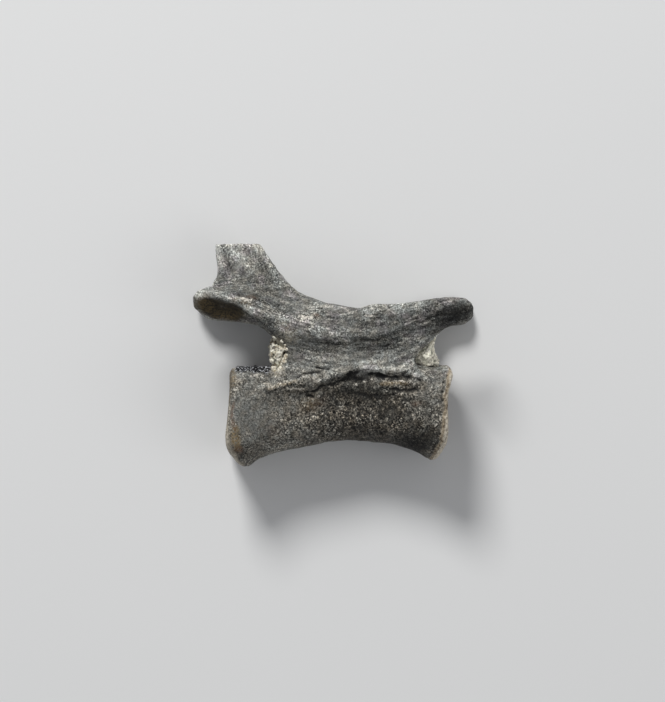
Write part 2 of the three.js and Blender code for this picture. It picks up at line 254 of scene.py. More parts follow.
class Wire:
    # one output of a node, which can be added and multiplied as a number can
    def __init__(self, tree, socket=None):
        self.tree = tree
        self.socket = socket

    def node(self, kind, settings=None, inputs=None, output=0):
        made = self.tree.nodes.new(kind)
        for name, value in (settings or {}).items():
            setattr(made, name, value)
        for name, value in (inputs or {}).items():
            if isinstance(value, Wire):
                self.tree.links.new(value.socket, made.inputs[name])
            else:
                made.inputs[name].default_value = value
        return Wire(self.tree, made.outputs[output])

    def sum(self, operation, *values):
        return self.node("ShaderNodeMath", {"operation": operation}, dict(enumerate(values)))

    def __add__(self, other):
        return self.sum("ADD", self, other)

    def __radd__(self, other):
        return self.sum("ADD", other, self)

    def __sub__(self, other):
        return self.sum("SUBTRACT", self, other)

    def __rsub__(self, other):
        return self.sum("SUBTRACT", other, self)

    def __mul__(self, other):
        return self.sum("MULTIPLY", self, other)

    def __rmul__(self, other):
        return self.sum("MULTIPLY", other, self)

    def __pow__(self, other):
        return self.sum("POWER", self, other)

    def between(self, low, high):
        # 0 up to low, 1 from high, and smooth in between
        return self.node("ShaderNodeMapRange", {"interpolation_type": "SMOOTHSTEP"},
                         {"Value": self, "From Min": low, "From Max": high})

    def read(self, name, output=2):
        # what is painted on the vertices under this name: a number, or with output 1 a place
        return self.node("ShaderNodeAttribute", {"attribute_name": name}, output=output)

    def noise(self, size, detail, roughness, seed=0.0):
        # cloudy noise whose features are about size millimetres, sampled at this wire's place
        return self.node("ShaderNodeTexNoise", {"noise_dimensions": "4D"}, {
            "Vector": self, "W": seed, "Scale": 1 / size, "Detail": detail, "Roughness": roughness})

    def cells(self, size, seed):
        # small grains about size millimetres across, each of its own strength
        return self.node("ShaderNodeTexVoronoi", {"voronoi_dimensions": "4D"}, {
            "Vector": self, "W": seed, "Scale": 1 / size}, output=1)

    def mix(self, colour, share):
        # this colour with a share of another over it
        other = colour if isinstance(colour, Wire) else (*colour, 1)
        settings = {"data_type": "RGBA", "clamp_factor": True}
        return self.node("ShaderNodeMix", settings, {0: share, 6: self, 7: other}, output=2)

    def times(self, amount):
        # this colour or place made brighter or larger all over
        return self.node("ShaderNodeVectorMath", {"operation": "SCALE"}, {0: self, "Scale": amount})

    def colour(self, red, green, blue):
        return self.node("ShaderNodeCombineColor", None, {0: red, 1: green, 2: blue})

    def bump(self, depth):
        # the surface raised by this wire, by depth millimetres where the wire is 1
        return self.node("ShaderNodeBump", None, {
            "Strength": 1.0, "Distance": depth / perMetre, "Height": self})


def startMaterial(name):
    material = bpy.data.materials.new(name)
    material.use_nodes = True
    start = Wire(material.node_tree)
    places = start.node("ShaderNodeTexCoord", output=3).times(perMetre)  # in millimetres
    return material, start, places


def finishMaterial(material, sockets):
    shader = material.node_tree.nodes["Principled BSDF"]
    for name, value in sockets.items():
        if isinstance(value, Wire):
            material.node_tree.links.new(value.socket, shader.inputs[name])
        else:
            shader.inputs[name].default_value = value
    return material


# The bone: its shape

bone = {
    "voxel": 0.073, "smoothing": 3,
    "relief": ((0.9, 0.020), (0.34, 0.014), (0.16, 0.011)),  # broad, middle and fine: size and height
    "fibre": (0.6, 0.11, 0.013),  # fibres of the arch: length, spacing and height
    "poreSize": 0.15, "poreDepth": 0.04, "poreFrom": (0.6, 1.0), "fewestPores": 0.2,
    "flankTop": (-1.4, -0.6),  # where the centrum's flank passes into the arch
    "spineFoot": (3.0, 4.0), "spineLean": 0.35, "leanFrom": 3.5,
    "sideFacing": (0.0, 0.35), "sideFrom": (0.05, 0.25),  # where the skin of a side begins
}
spineBreak = {  # the spine ends in a crisp break
    "from": 4.9, "stretch": 0.3, "level": 5.55, "rough": 0.03, "roughSize": 0.3,
    "rearX": -5.9, "foreX": -3.9, "slant": 0.6,
}
seeds = {  # of the random fields
    "break": 19, "wavesAlong": 31, "wavesAcross": 47, "gaps": 61, "rim": 71, "coat": 83, "cup": 91,
    "relief": 101, "fibres": 131, "pores": 151, "sediment": 211,
}
# where the fibres of the arch run: the height of one of them along the bone
fibreLine = [(-7.0, 3.4), (-5.2, 2.85), (-3.9, 2.2), (-2.7, 1.5), (-1.0, 1.05), (0.9, 0.9), (2.2, 1.0),
             (3.1, 1.2), (4.2, 1.6), (5.5, 2.0), (7.0, 2.45)]

marking = {  # how the marks below are drawn
    "waveSize": 0.35, "waveHeight": 0.065,  # their lines are ragged
    "gapSize": 0.2, "gapLevel": 0.85, "gapSwing": 0.6, "gapLimits": (0.2, 1.2),  # cracks close up
    "leftStretch": (0.97, 1.03), "leftShift": (0.22, -0.05),  # of the left side's marks
    # a pit's painted shade is full from this depth
    "darkPit": 0.1,  # depth from which a pit is fully dark
}
# Cracks and grooves of the right side: path, width, depth, and how dark their painted shade is
cracks = {
    "seam rear": (
        [(-4.0, -1.86), (-3.37, -1.86), (-2.62, -2.03), (-1.97, -1.91), (-1.3, -1.84)], 0.18, 0.02, 0.3),
    "seam middle": (
        [(-1.6, -1.87), (-1.05, -1.76), (-0.73, -1.52), (-0.12, -1.38), (0.38, -1.22), (1.0, -1.06)],
        0.10, 0.03, 0.9),
    "seam fore": (
        [(1.3, -1.0), (1.83, -0.90), (2.33, -1.01), (3.08, -1.05), (3.5, -1.02), (4.1, -1.04)],
        0.12, 0.04, 0.95),
    "seam fork": ([(3.3, -0.98), (3.55, -0.86), (3.85, -0.74)], 0.12, 0.05, 0.6),
    "seam branch": (
        [(2.88, -1.1), (3.4, -1.15), (3.81, -1.12), (4.13, -1.2), (4.48, -1.38), (4.66, -1.56)],
        0.13, 0.06, 0.6),
    "dark pocket": ([(1.95, -1.03), (2.26, -1.08), (2.55, -1.14)], 0.19, 0.10, 1.0),
    "shadow by the pocket": ([(0.6, -0.98), (0.95, -0.84), (1.3, -0.84)], 0.24, 0.04, 0.65),
    "under tan ridge": ([(-3.15, -1.74), (-2.8, -1.69), (-2.42, -1.55), (-2.1, -1.47)], 0.10, 0.05, 0.45),
    "over tan ridge": (
        [(-2.0, -1.2), (-1.5, -1.0), (-1.22, -0.88), (-0.85, -0.84), (-0.5, -0.93)], 0.12, 0.06, 0.6),
    "slit": (
        [(-1.0, -0.57), (-0.8, -0.6), (-0.57, -0.66), (-0.35, -0.65), (-0.1, -0.63)], 0.10, 0.08, 0.95),
    "under pale strip": (
        [(1.9, -1.64), (2.4, -1.71), (2.98, -1.64), (3.5, -1.74), (3.93, -1.68), (4.5, -1.74)],
        0.13, 0.05, 0.7),
    "lower shadow": ([(0.4, -1.75), (1.5, -1.95), (2.2, -2.03), (3.0, -1.97)], 0.20, 0.04, 0.5),
    "flank crack": ([(-1.32, -2.0), (-1.13, -2.06), (-0.85, -2.19)], 0.12, 0.09, 0.95),
    "lamina groove": (
        [(0.7, 0.73), (1.33, 0.74), (2.08, 0.77), (2.7, 0.97), (3.33, 1.12), (4.0, 1.28)],
        0.10, 0.02, 0.4),
    "lamina scratch": ([(-0.6, 0.62), (0.0, 0.58), (0.4, 0.53)], 0.08, 0.03, 0.5),
    "lamina upper scratch": ([(-1.0, 1.22), (-0.1, 1.29), (0.6, 1.23)], 0.09, 0.03, 0.45),
    "lamina valley": ([(-3.0, 1.95), (-1.9, 1.5), (-0.9, 1.28)], 0.16, 0.04, 0.4),
    "pedicel scratch": ([(2.15, 0.4), (2.5, 0.44), (2.9, 0.53)], 0.08, 0.04, 0.6),
    "prezygapophysis valley": ([(4.0, 1.5), (4.9, 1.85), (5.8, 2.1)], 0.16, 0.04, 0.35),
}
ridges = {  # path, width and height
    "seam filling": (
        [(-4.3, -1.95), (-3.0, -2.0), (-1.9, -1.87), (-1.1, -1.62), (-0.4, -1.36), (0.4, -1.14)],
        0.30, 0.055),
    "tan ridge": (
        [(-3.4, -1.68), (-2.7, -1.5), (-2.04, -1.32), (-1.52, -1.1), (-1.0, -0.95)], 0.12, 0.06),
    "seam lip": ([(-2.5, -1.7), (-1.4, -1.62), (-0.6, -1.22), (0.1, -0.98), (1.2, -0.74)], 0.18, 0.05),
    "pale strip": ([(2.1, -1.42), (2.7, -1.4), (3.32, -1.36), (3.85, -1.36), (4.1, -1.48)], 0.13, 0.09),
    "low pale strip": ([(2.6, -1.57), (3.23, -1.5), (3.65, -1.6)], 0.09, 0.06),
    "facet ridge": (
        [(-6.2, 3.06), (-5.22, 2.84), (-4.57, 2.54), (-3.92, 2.24), (-3.22, 2.0), (-2.72, 1.5)],
        0.34, 0.05),
    "facet rim": (
        [(-6.5, 3.05), (-6.85, 2.62), (-6.76, 2.15), (-6.3, 1.84), (-5.4, 1.74), (-4.5, 1.72)],
        0.10, 0.03),
    "lamina ridge": (
        [(-2.3, 1.3), (-0.5, 0.95), (0.9, 0.98), (2.1, 1.08), (3.1, 1.32), (4.3, 1.72)], 0.22, 0.03),
}
# Small round marks: centre, radius, and height (a pit where it is below zero)
knobs = [
    ((1.14, -1.42), 0.14, 0.11), ((1.49, -1.29), 0.12, 0.12), ((1.83, -1.20), 0.13, 0.13),
    ((2.33, -1.17), 0.09, 0.10), ((0.95, -1.55), 0.10, 0.07), ((3.11, -1.93), 0.08, 0.08),
    ((-4.37, 2.76), 0.25, 0.05),
]
pits = [
    ((0.02, -2.85), 0.10, -0.12), ((0.64, -2.44), 0.12, -0.11), ((5.38, -2.22), 0.10, -0.14),
    ((5.60, -1.02), 0.09, -0.12), ((5.44, -1.35), 0.10, -0.12), ((5.42, -1.78), 0.08, -0.10),
    ((2.80, 2.66), 0.12, -0.07), ((-0.95, -2.75), 0.06, -0.06), ((1.9, -2.5), 0.07, -0.07),
    ((-2.2, -2.9), 0.06, -0.05), ((5.3, -3.9), 0.09, -0.10), ((5.36, -3.55), 0.08, -0.10),
]
endFaces = {  # the centrum's cupped ends and their worn rims
    "centre": -2.95, "halfHeight": 2.4, "halfWidth": 2.35, "top": (-0.5, -0.3),
    "rear": [(-0.5, -5.19), (-1.3, -5.22), (-2.3, -5.32), (-3.4, -5.4), (-4.6, -5.3), (-5.6, -4.6)],
    "fore": [(-0.4, 5.98), (-1.0, 5.98), (-2.2, 5.78), (-3.4, 5.74), (-4.3, 5.6), (-5.2, 5.1)],
    "waveSize": 0.5, "waveHeight": 0.06, "worn": (0.70, 0.84), "outermost": (0.86, 0.95),
    "rearWidth": 0.19, "foreWidth": 0.33, "widthFade": (0.7, 1.2),
    "edgeWidth": 0.15, "edgeFade": (0.6, 1.4), "rearEdgeBelow": (-3.4, -1.9), "rearEdge": 0.7,
    "grooveAt": 1.3, "grooveWidth": 0.14, "grooveDepth": 0.03, "rearGroove": 0.5,
}
cups = {
    "edge": (0.68, 0.82), "beyond": (4.0, 4.5), "facing": (0.1, 0.4), "dark": 0.35,
    "rings": 46, "ringDark": 0.3, "waveSize": 0.5, "waveHeight": 1.5,
}
# Small shifts that bring the bone's outline onto the photo's: centre, radii, turn and shift
boneShifts = {
    "front of the centrum": ((5.95, -1.5), (0.6, 1.2), 0, (-0.09, 0)),
    "top front corner": ((5.6, -0.45), (0.6, 0.4), 0, (0, 0.09)),
    "notch behind the spine": ((-6.05, 3.5), (0.5, 0.5), 0, (-0.06, 0.12)),
    "front of the pedicel": ((4.45, -0.35), (0.55, 0.55), 0, (-0.2, 0)),
}
blackBeads = {  # glossy drops, and the black coat that they stand on
    "count": 46, "seed": 5, "radius": (0.07, 0.13), "height": 0.07, "flatTop": 0.2,
    "x": (-4.8, -3.1), "y": (-0.72, -0.45), "beside": (-0.6, 2.0),  # of the midline
    "coatRear": (-5.0, -4.8), "coatFore": (-3.2, -2.95), "coatLow": (-0.88, -0.74),
    "coatHigh": (-0.35, -0.2), "raggedSize": 0.3, "ragged": 0.1,
}


def endPlace(heights, side):
    stops = sorted(endFaces[side])
    return np.interp(heights, [stop[0] for stop in stops], [stop[1] for stop in stops])


def bareBone():
    piece = copyOfNode("vertebra", "vertebra_bone")
    finishWith(piece, "SUBSURF", levels=2, render_levels=2)
    finishWith(piece, "REMESH", mode="VOXEL", voxel_size=bone["voxel"], use_smooth_shade=True)
    finishWith(piece, "SMOOTH", factor=0.5, iterations=bone["smoothing"])
    moveTo(piece, shifted(brokenOff(numbersOf(piece, "co")), boneShifts))
    print("bone surface of", len(piece.data.polygons), "faces")
    return piece


def shifted(places, shifts):
    for centre, radii, turn, shift in shifts.values():
        places[:, :2] += onPatch(places[:, :2], centre, radii, turn)[:, None] * shift
    return places


def brokenOff(places):
    # the spine's rounded top is drawn up along its slanting edges and cut off at the break
    share = smoothStep(spineBreak["from"], spineBreak["level"], places[:, 1])
    rough = lumps(places[:, [0, 2]], spineBreak["roughSize"], seeds["break"], 2) * spineBreak["rough"]
    upward = np.minimum(share * spineBreak["stretch"], spineBreak["level"] + rough - places[:, 1])
    forward = smoothStep(spineBreak["rearX"], spineBreak["foreX"], places[:, 0])
    places[:, 1] += upward
    places[:, 0] -= share * spineBreak["stretch"] * forward * spineBreak["slant"]
    return places


def sideShare(places, normals, side):
    # 1 on the outer skin of the right side (side 1) or the left side (side -1)
    return (smoothStep(*bone["sideFacing"], normals[:, 2] * side)
            * smoothStep(*bone["sideFrom"], (places[:, 2] - midline) * side))


def spotsOn(places, side):
    # where each vertex lies on the side's drawing of marks: the left side's marks are like the
    # right side's, set a little apart, and ragged lines come from the small waves
    waves = np.column_stack([lumps(places, marking["waveSize"], seeds[name], 3)
                             for name in ("wavesAlong", "wavesAcross")])
    flat = places[:, :2] + waves * marking["waveHeight"]
    if side > 0:
        return flat
    return flat * marking["leftStretch"] + marking["leftShift"]


def carveMarks(places, normals):
    moved = places.copy()
    # the cracks and pits get painted shade, each as dark as its mark gives
    crackShade = np.zeros(len(places))
    gaps = lumps(places, marking["gapSize"], seeds["gaps"], 2)
    whole = np.clip(marking["gapLevel"] + marking["gapSwing"] * gaps, *marking["gapLimits"])
    for side in (1, -1):
        share = sideShare(places, normals, side)
        spots = spotsOn(places, side)
        for path, width, depth, dark in cracks.values():
            mark = onLine(spots, path, width) * share * whole
            moved -= (mark * depth)[:, None] * normals
            crackShade = np.maximum(crackShade, mark * dark)
        for path, width, height in ridges.values():
            moved += (onLine(spots, path, width) * share * height)[:, None] * normals
        for centre, radius, height in knobs + pits:
            mark = onPatch(spots, centre, (radius, radius)) * share
            moved += (mark * height)[:, None] * normals
            if height < 0:
                crackShade = np.maximum(crackShade, mark * min(1, -height / marking["darkPit"]))
    return moved, crackShade


def ringOf(places):
    # 0 in the middle of an end face, and 1 all round its edge
    return np.hypot((places[:, 1] - endFaces["centre"]) / endFaces["halfHeight"],
                    (places[:, 2] - midline) / endFaces["halfWidth"])


def rimShares(places):
    # how far each vertex belongs to the worn rims, to the grooves just inside them and to their pale
    # edges, at the rear and at the front
    waves = lumps(places, endFaces["waveSize"], seeds["rim"], 3) * endFaces["waveHeight"]
    x, y = places[:, 0] + waves, places[:, 1]
    ring = ringOf(places)
    worn = (1 - smoothStep(*endFaces["top"], y)) * smoothStep(*endFaces["worn"], ring + waves)
    outermost = smoothStep(*endFaces["outermost"], ring)
    shares, grooves, edges = [], [], []
    for side, sign in (("rear", -1), ("fore", 1)):
        inward = (endPlace(y, side) - x) * sign
        width, edge = endFaces[side + "Width"], endFaces["edgeWidth"]
        whole, gone = endFaces["widthFade"]
        shares.append((1 - smoothStep(width * whole, width * gone, inward)) * worn)
        offGroove = np.abs(inward - width * endFaces["grooveAt"])
        grooves.append((1 - smoothStep(0, endFaces["grooveWidth"], offGroove)) * worn)
        whole, gone = endFaces["edgeFade"]
        edges.append((1 - smoothStep(edge * whole, edge * gone, inward)) * worn * outermost)
    return shares, grooves, edges


def cupTone(places, normals):
    # the cups of the end faces are darker than the flanks, with faint growth rings
    ring = ringOf(places)
    inside = (1 - smoothStep(*cups["edge"], ring)) * smoothStep(*cups["beyond"], np.abs(places[:, 0]))
    waves = lumps(places, cups["waveSize"], seeds["cup"], 2) * cups["waveHeight"]
    lines = 0.5 + 0.5 * np.sin(ring * cups["rings"] + waves)
    facing = smoothStep(*cups["facing"], np.abs(normals[:, 0]))
    return 1 - inside * facing * (cups["dark"] + cups["ringDark"] * lines)


def addBeads(places, normals, moved):
    # glossy black drops along the upper edge of the centrum's rear
    draw = np.random.default_rng(blackBeads["seed"])
    for _ in range(blackBeads["count"]):
        radius = draw.uniform(*blackBeads["radius"])
        centre = np.array([draw.uniform(*blackBeads["x"]), draw.uniform(*blackBeads["y"]),
                           midline + draw.uniform(*blackBeads["beside"])])
        gap = np.linalg.norm(places - centre, axis=1)
        bead = 1 - smoothStep(blackBeads["flatTop"], 1, gap / radius)
        moved += (bead * blackBeads["height"])[:, None] * normals
    edge = lumps(places, blackBeads["raggedSize"], seeds["coat"], 2) * blackBeads["ragged"]
    coat = (smoothStep(*blackBeads["coatLow"], places[:, 1] + edge)
            * smoothStep(*blackBeads["coatRear"], places[:, 0] + edge)
            * (1 - smoothStep(*blackBeads["coatFore"], places[:, 0] + edge))
            * (1 - smoothStep(*blackBeads["coatHigh"], places[:, 1])))
    return moved, coat


def relief(places, normals):
    # the bone's own unevenness: broad, middle and fine lumps, fibres along the arch, and small pores
    flank = 1 - smoothStep(*bone["flankTop"], places[:, 1])
    rough = factorOver(places[:, :2], grainAreas)
    height = np.zeros(len(places))
    for step, (size, tall) in enumerate(bone["relief"]):
        height += lumps(places, size, seeds["relief"] + step) * tall * (rough if step else 1)
    length, spacing, tall = bone["fibre"]
    fibres = lumps(fibreCoordinates(places) / (length, spacing, spacing * 2), 1.0, seeds["fibres"], 2)
    height += fibres * tall * (1 - flank)
    pores = smoothStep(*bone["poreFrom"], lumps(places, bone["poreSize"], seeds["pores"], 2))
    pores *= np.clip(rough * flank, bone["fewestPores"], 1)
    height -= pores * bone["poreDepth"]
    return places + height[:, None] * normals, pores


def fibreCoordinates(places):
    # along, across and through the fibres of the arch and the spine
    stops = np.array(fibreLine)
    x, y = places[:, 0], places[:, 1]
    across = y - np.interp(x, stops[:, 0], stops[:, 1])
    spine = smoothStep(*bone["spineFoot"], y)
    lean = x + bone["spineLean"] * (y - bone["leanFrom"])
    return np.column_stack([x * (1 - spine) + y * spine, across * (1 - spine) + lean * spine, places[:, 2]])


def hollowness(piece, reach):
    # how far each vertex lies in a hollow (above 0) or on a crest (below 0), against those around it
    places, normals = numbersOf(piece, "co"), numbersOf(piece, "normal")
    ends = np.zeros(len(piece.data.edges) * 2, int)
    piece.data.edges.foreach_get("vertices", ends)
    one, other = ends.reshape(-1, 2).T
    count = np.bincount(ends, minlength=len(places))

    def spread(values):
        total = (np.bincount(one, values[other], minlength=len(values))
                 + np.bincount(other, values[one], minlength=len(values)))
        return total / count

    mean = list(places.T)
    for _ in range(reach):
        mean = [spread(values) for values in mean]
    found = ((np.array(mean).T - places) * normals).sum(1)
    for _ in range(2):
        found = (found + spread(found)) / 2
    return found


def factorOver(spots, areas):
    # the areas' factors multiplied together, each fading to 1 at its area's edge
    found = np.ones(len(spots))
    for centre, radii, turn, factor in areas.values():
        found *= 1 + (factor - 1) * onPatch(spots, centre, radii, turn, areaEdge)
    return found


# The bone: its colours, the same on both sides

painting = {
    "toneAndShading": 0.42, "grain": 0.4,  # of the plain bone
    # hollow and valley: the painted shade in hollows and broad valleys, and the painted light on crests
    "hollow": (3, 0.05), "valley": (24, 0.16),  # how many edges far, and how deep
    # pores: how dark the painted shade in the pores is
    "pores": 0.55, "facetFrom": (0.0, 0.2), "flankTop": (-1.5, -0.5),
    "spineFoot": (3.0, 3.8), "plainSpine": 0.85,
}
# How much brighter or darker each area is than the plain bone, by its own tone or by painted light and
# shade as marked below: centre, radii, turn and factor
toneAndShadingAreas = {
    # painted highlight across the spine, which is lit from above, and painted shade at its front edge
    "spine": ((-4.8, 4.7), (1.6, 1.4), -30, 1.45),
    "bright diagonal of the spine": ((-4.4, 4.65), (1.5, 0.6), -38, 2.0),
    "rear top of the spine": ((-5.3, 4.77), (0.35, 0.35), 0, 1.4),
    "front edge of the spine": ((-3.55, 4.6), (1.2, 0.35), -55, 0.75),
    "rear rim": ((-5.0, -2.2), (0.35, 0.9), 0, 0.5),
    "notch behind the spine": ((-5.1, 3.65), (0.6, 0.45), 0, 0.8),
    "over the facet ridge": ((-4.3, 2.95), (1.6, 0.7), -25, 0.75),
    "foot of the spine": ((-2.6, 3.0), (1.5, 0.5), -38, 1.15),
    "rear of the lamina": ((-0.6, 1.0), (1.9, 0.5), -6, 1.3),
    "rear of the pedicel": ((-1.0, 0.2), (1.9, 0.6), 0, 1.25),
    # painted shade under the front process
    "under the front process": ((3.3, 1.0), (1.4, 0.5), 35, 0.7),
    "front of the lamina": ((2.3, 1.8), (1.4, 0.5), 10, 1.12),
    "top of the rear rim": ((-4.95, -1.6), (0.3, 0.7), 0, 0.6),
    # painted shade over the front process, which faces down, away from the light
    "front process": ((6.2, 2.1), (2.6, 1.3), 15, 0.18),
    "beside the rear sediment": ((-2.4, 0.2), (0.8, 1.3), 0, 0.5),
    "lower edge of the facet": ((-5.2, 1.95), (1.9, 0.45), -6, 0.4),
    # painted shade under the rear process, by the dark pocket and under the seam's overhang
    "under the rear process": ((-3.0, 1.3), (1.2, 0.5), -40, 0.5),
    "by the dark pocket": ((0.95, -0.86), (0.7, 0.4), 15, 0.5),
    "under the seam": ((1.3, -1.65), (3.2, 0.7), 6, 0.6),
    "black middle of the seam": ((1.23, -1.16), (1.0, 0.34), 10, 0.05),
    "under the black middle": ((0.5, -1.8), (1.2, 0.5), 6, 0.32),
    "under the pale strip": ((2.3, -2.0), (1.4, 0.35), 0, 0.35),
    "base of the front process": ((5.0, 2.2), (1.5, 0.6), 15, 0.7),
    "top edge of the front process": ((5.0, 2.75), (1.7, 0.4), 8, 0.4),
    "rear top of the flank": ((-3.9, -1.25), (0.9, 0.4), 0, 1.3),
    "middle of the flank": ((1.5, -3.0), (1.6, 1.0), 0, 0.8),
    "rear edge of the pedicel": ((-2.1, 0.0), (0.5, 0.8), 0, 0.8),
    "rim of the facet": ((-6.9, 2.4), (0.35, 0.9), 0, 0.3),
    "low front of the flank": ((3.9, -4.6), (1.6, 0.7), 14, 0.5),
    "upper scratch": ((0.2, 1.65), (0.8, 0.3), -6, 0.85),
    "round the pale spot": ((-1.3, 2.0), (0.8, 0.35), -8, 1.15),
    # painted shade along the spine's edges
    "rear edge of the spine": ((-5.5, 4.3), (0.35, 1.0), 0, 0.75),
    "front flank of the spine": ((-3.5, 4.5), (0.4, 1.0), 35, 0.85),
    "rear of the seam": ((-2.8, -1.95), (1.6, 0.4), 4, 0.8),
    # painted shade down the flank, darker towards its lower edge as it turns from the light
    "flank": ((2.0, -3.3), (5.4, 2.7), 0, 0.28),
    "flank behind its middle": ((-0.8, -3.2), (1.8, 1.4), 0, 0.75),
    "low front corner": ((4.2, -4.4), (2.2, 1.15), 14, 0.2),
    "lower edge": ((0.5, -4.8), (4.5, 0.9), 6, 0.38),
    "low rear corner": ((-4.4, -4.9), (1.0, 0.9), 0, 0.55),
    "top front corner": ((5.2, -1.0), (1.0, 0.8), 0, 1.1),
    "foot of the pedicel": ((1.6, -0.15), (2.6, 0.6), -4, 1.5),
}
# How much coarser or finer its grain is: centre, radii, turn and factor
grainAreas = {
    "rear of the flank": ((-4.1, -3.0), (1.9, 2.5), 0, 0.2),
    "flank": ((1.8, -3.0), (4.8, 2.2), 0, 1.75),
    "rear process": ((-3.2, 2.2), (2.2, 1.1), -35, 1.5),
    "front process": ((5.6, 2.1), (2.4, 1.0), 15, 1.6),
    "lamina": ((-0.8, 1.7), (2.0, 0.8), -8, 1.2),
    "front of the pedicel": ((3.2, 0.6), (1.5, 0.7), 20, 1.2),
    "spine": ((-4.8, 4.6), (1.4, 1.3), 0, 0.5),
    "pedicel": ((0.8, -0.2), (2.6, 0.7), 0, 0.7),
    "front of the flank": ((5.2, -2.0), (0.8, 2.0), 0, 0.6),
}
# Marks of other colours: centre, radii, turn and strength, or for a line its path, width and strength
paleMarks = [
    ([(-4.75, 2.86), (-4.4, 2.76), (-4.0, 2.72)], 0.16, 1.5), ((-1.34, 1.93), (0.26, 0.17), 0, 2.0),
    ([(-1.9, 2.0), (-1.5, 1.98), (-1.2, 1.9), (-0.9, 1.88)], 0.14, 1.3),
    ((-3.61, 4.34), (0.12, 0.09), 0, 1.1), ([(1.45, 1.97), (1.7, 2.02), (2.05, 2.02)], 0.12, 1.8),
    ([(-0.8, 2.58), (0.0, 2.4), (0.6, 2.27), (1.1, 2.2), (1.5, 2.36)], 0.09, 0.7),
    ((-4.59, 4.54), (0.18, 0.1), 0, 1.2), ((-2.96, 3.89), (0.15, 0.1), 40, 1.3),
    ((-4.88, 4.2), (0.2, 0.08), 0, 1.0), ((3.11, -1.93), (0.11, 0.11), 0, 1.4),
    ((3.77, -0.68), (0.14, 0.11), 0, 0.8), ((1.7, 0.62), (0.2, 0.08), 0, 1.1),
    ((-0.75, -2.0), (0.18, 0.13), 0, 1.1), ((-2.0, -2.18), (0.35, 0.15), -10, 0.7),
    ((-1.7, -2.22), (0.3, 0.1), 0, 0.7),
    ([(2.9, -1.3), (3.4, -1.3), (3.9, -1.38), (4.2, -1.5)], 0.11, 1.0),
    ([(-2.4, -1.73), (-1.9, -1.66), (-1.4, -1.62)], 0.12, 0.9), ((-2.3, -1.05), (0.5, 0.2), 10, 0.5),
    ((1.14, -1.42), (0.15, 0.15), 0, 1.1), ((1.49, -1.29), (0.12, 0.16), 0, 1.2),
    ((1.83, -1.2), (0.15, 0.12), 0, 1.3), ((2.33, -1.17), (0.11, 0.10), 0, 1.4),
    ([(-4.7, -1.0), (-4.0, -0.98), (-3.2, -1.02)], 0.11, 0.8),
    ([(5.05, -3.6), (5.2, -3.25), (5.4, -3.0)], 0.10, 0.7), ((4.6, -1.0), (1.0, 0.5), -15, 0.4),
]
tanMarks = [
    ([(-3.4, -1.68), (-2.7, -1.5), (-2.04, -1.32), (-1.6, -1.15)], 0.11, 0.8),
    ((-6.4, 2.5), (0.8, 0.6), -40, 1.2), ((-5.6, 2.0), (1.2, 0.35), -8, 0.9),
    ((-4.85, -4.1), (0.36, 1.0), 8, 1.9), ((-4.98, -1.0), (0.26, 0.9), 0, 0.9),
    ([(2.1, -1.42), (2.7, -1.4), (3.32, -1.38), (3.85, -1.42)], 0.16, 0.7),
    ((-4.55, 2.7), (0.9, 0.25), -18, 0.4), ((0.2, -4.6), (2.4, 0.7), 5, 0.35),
    ((-2.2, 1.3), (1.1, 0.35), -45, 0.35), ((-1.2, -2.4), (0.8, 0.6), 0, 0.35),
]
rustMarks = [
    ((4.12, -2.4), (0.42, 0.2), 15, 0.7),
    ([(-4.9, -2.1), (-5.02, -2.7), (-5.0, -3.4), (-4.85, -3.9)], 0.13, 1.2),
    ((-4.7, -4.7), (0.36, 0.36), 0, 1.2), ((-0.85, 2.03), (0.32, 0.16), 0, 1.0),
    ((-0.8, -2.4), (1.0, 0.5), 30, 0.3), ((-4.1, 2.9), (0.5, 0.16), -15, 0.8),
    ((-6.3, 2.7), (0.45, 0.3), 0, 0.6), ((-3.0, -3.6), (0.8, 0.6), 30, 0.3),
]
# the facet's brown is its own colour, and its black under the ridge is painted shadow
facetShade = [  # the joint face under the postzygapophysis, brown behind and black under its ridge
    ([(-6.2, 2.66), (-5.6, 2.6), (-4.9, 2.36), (-4.3, 2.06)], 0.40, 1.0),
    ((-6.10, 2.37), (0.98, 0.72), -25, 2.2), ((-5.2, 2.14), (1.35, 0.5), -12, 2.0),
]
dustAreas = [  # sediment that clings to the bone round the canal
    ((-2.85, 0.0), (0.55, 1.3), 0, 1.8), ((-2.2, 0.9), (0.8, 0.4), -40, 0.4),
    ((4.35, 0.0), (0.25, 0.5), 0, 0.7),
]


# Among these are painted shade for the cracks, pits and pores, painted shadow under the facet's ridge, and
# painted glints on the black beads and, in part, among the pale flecks
boneColours = {
    "grey": (0.146, 0.151, 0.141), "warm": (0.168, 0.143, 0.108), "violet": (0.152, 0.136, 0.140),
    "fleckAndGlint": (0.70, 0.69, 0.64), "tan": (0.24, 0.165, 0.070), "rust": (0.110, 0.052, 0.027),
    "pale": (0.78, 0.73, 0.64), "dust": (0.52, 0.47, 0.36), "crack": (0.006, 0.006, 0.006),
    "rimDark": (0.090, 0.062, 0.034), "rimPale": (0.42, 0.35, 0.25), "rimLine": (0.035, 0.024, 0.014),
    "rimEdge": (0.68, 0.62, 0.51), "facetShadow": (0.016, 0.014, 0.010), "facetBrown": (0.115, 0.083, 0.038),
    "bead": (0.010, 0.010, 0.011), "glint": (0.62, 0.63, 0.65),
}
boneFinish = {
    "roughness": 0.58, "glossier": 0.46, "specular": 0.18, "coatRoughness": 0.08, "bump": 0.07,
    "fibreStretch": (1.5, 9.0, 6.0),  # of the streaks, along, across and through the fibres
}


